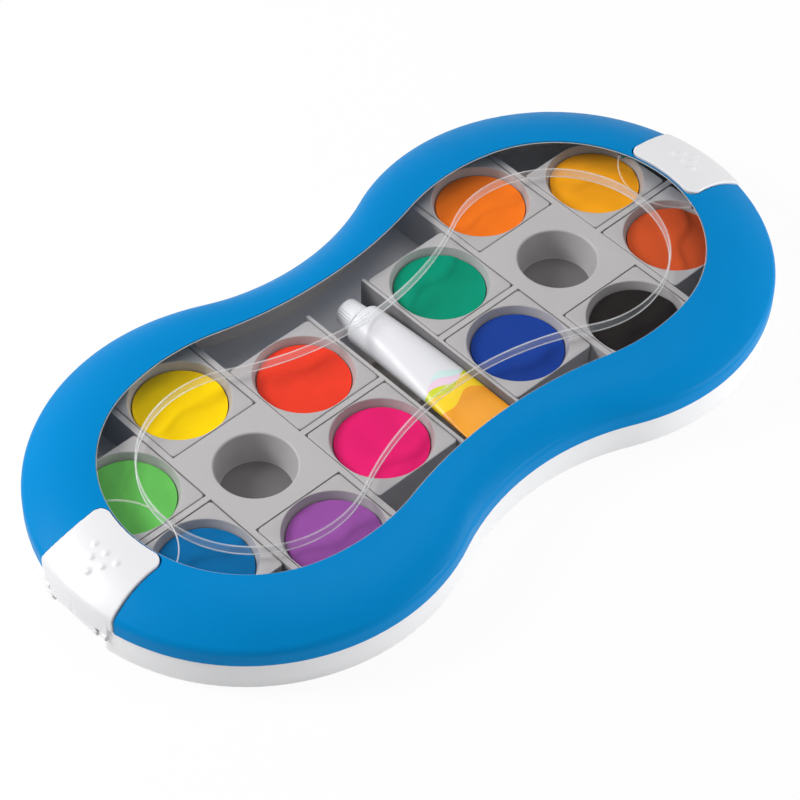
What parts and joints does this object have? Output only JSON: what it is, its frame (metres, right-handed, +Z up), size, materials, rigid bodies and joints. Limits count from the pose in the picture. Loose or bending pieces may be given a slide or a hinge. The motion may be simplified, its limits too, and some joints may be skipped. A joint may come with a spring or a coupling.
{
  "type": "paint box",
  "caption": "Flat waisted paint box with a clear-windowed lid held by swing clips at its ends, square pans of solid paint, mixing wells and a tube of white in the middle channel.",
  "frame": {"origin": "on the table under the middle of the box", "axes": "+X along the box towards the right lobe, +Y towards the side that the tube's cap points to, +Z up"},
  "size_m": [0.2768, 0.1406, 0.0263],
  "materials": {
    "base_white": "satin moulded white plastic",
    "tray_grey": "fine-grained light grey plastic",
    "pan_grey": "fine-grained light grey plastic",
    "frame_blue": "satin bright blue plastic",
    "window_clear": "polished clear plastic",
    "clip_white": "satin moulded white plastic",
    "tube_white": "glossy printed laminate over foil",
    "cap_white": "fine-ribbed white plastic",
    "paint_yellow": "matt pressed pigment cake",
    "paint_violet": "matt pressed pigment cake",
    "paint_red": "matt pressed pigment cake",
    "paint_magenta": "matt pressed pigment cake",
    "paint_light_green": "matt pressed pigment cake",
    "paint_cyan": "matt pressed pigment cake",
    "paint_orange": "matt pressed pigment cake",
    "paint_black": "matt pressed pigment cake",
    "paint_emerald": "matt pressed pigment cake",
    "paint_ultramarine": "matt pressed pigment cake",
    "paint_ochre": "matt pressed pigment cake",
    "paint_russet": "matt pressed pigment cake"
  },
  "bodies": {
    "base": {"base_shell": "base_white", "pan_tray": "tray_grey", "ribs_left": "tray_grey", "ribs_right": "tray_grey", "mixing_well_left": "tray_grey", "mixing_well_right": "tray_grey", "saddle_far": "tray_grey", "saddle_near": "tray_grey", "tube_body": "tube_white", "pan_yellow": "pan_grey", "paint_yellow": "paint_yellow", "pan_violet": "pan_grey", "paint_violet": "paint_violet", "pan_red": "pan_grey", "paint_red": "paint_red", "pan_magenta": "pan_grey", "paint_magenta": "paint_magenta", "pan_light_green": "pan_grey", "paint_light_green": "paint_light_green", "pan_cyan": "pan_grey", "paint_cyan": "paint_cyan", "pan_orange": "pan_grey", "paint_orange": "paint_orange", "pan_black": "pan_grey", "paint_black": "paint_black", "pan_emerald": "pan_grey", "paint_emerald": "paint_emerald", "pan_ultramarine": "pan_grey", "paint_ultramarine": "paint_ultramarine", "pan_ochre": "pan_grey", "paint_ochre": "paint_ochre", "pan_russet": "pan_grey", "paint_russet": "paint_russet"},
    "lid": {"lid_frame": "frame_blue", "lid_window": "window_clear"},
    "clip_left": {"clip_left": "clip_white"},
    "clip_right": {"clip_right": "clip_white"},
    "tube_cap": {"tube_cap": "cap_white"}
  },
  "joints": [
    {"name": "lid_lift", "type": "slide", "parent": "base", "child": "lid", "axis": [0, 0, 1], "range_m": [0, 0.0174]},
    {"name": "clip_left_swing", "type": "hinge", "parent": "base", "child": "clip_left", "pos_m": [-0.13627, 0, 0.008], "axis": [0, -1, 0], "range_deg": [0, 100]},
    {"name": "clip_right_swing", "type": "hinge", "parent": "base", "child": "clip_right", "pos_m": [0.13627, 0, 0.008], "axis": [0, 1, 0], "range_deg": [0, 100]},
    {"name": "tube_cap_turn", "type": "hinge", "parent": "base", "child": "tube_cap", "pos_m": [0.0024, 0.03, 0.0129], "axis": [0, 1, 0], "range_deg": [-360, 0]}
  ],
  "couplings": [
    {"joint": "clip_left_swing", "follows": "lid_lift", "rad_per_m": 100},
    {"joint": "clip_right_swing", "follows": "lid_lift", "rad_per_m": 100}
  ]
}
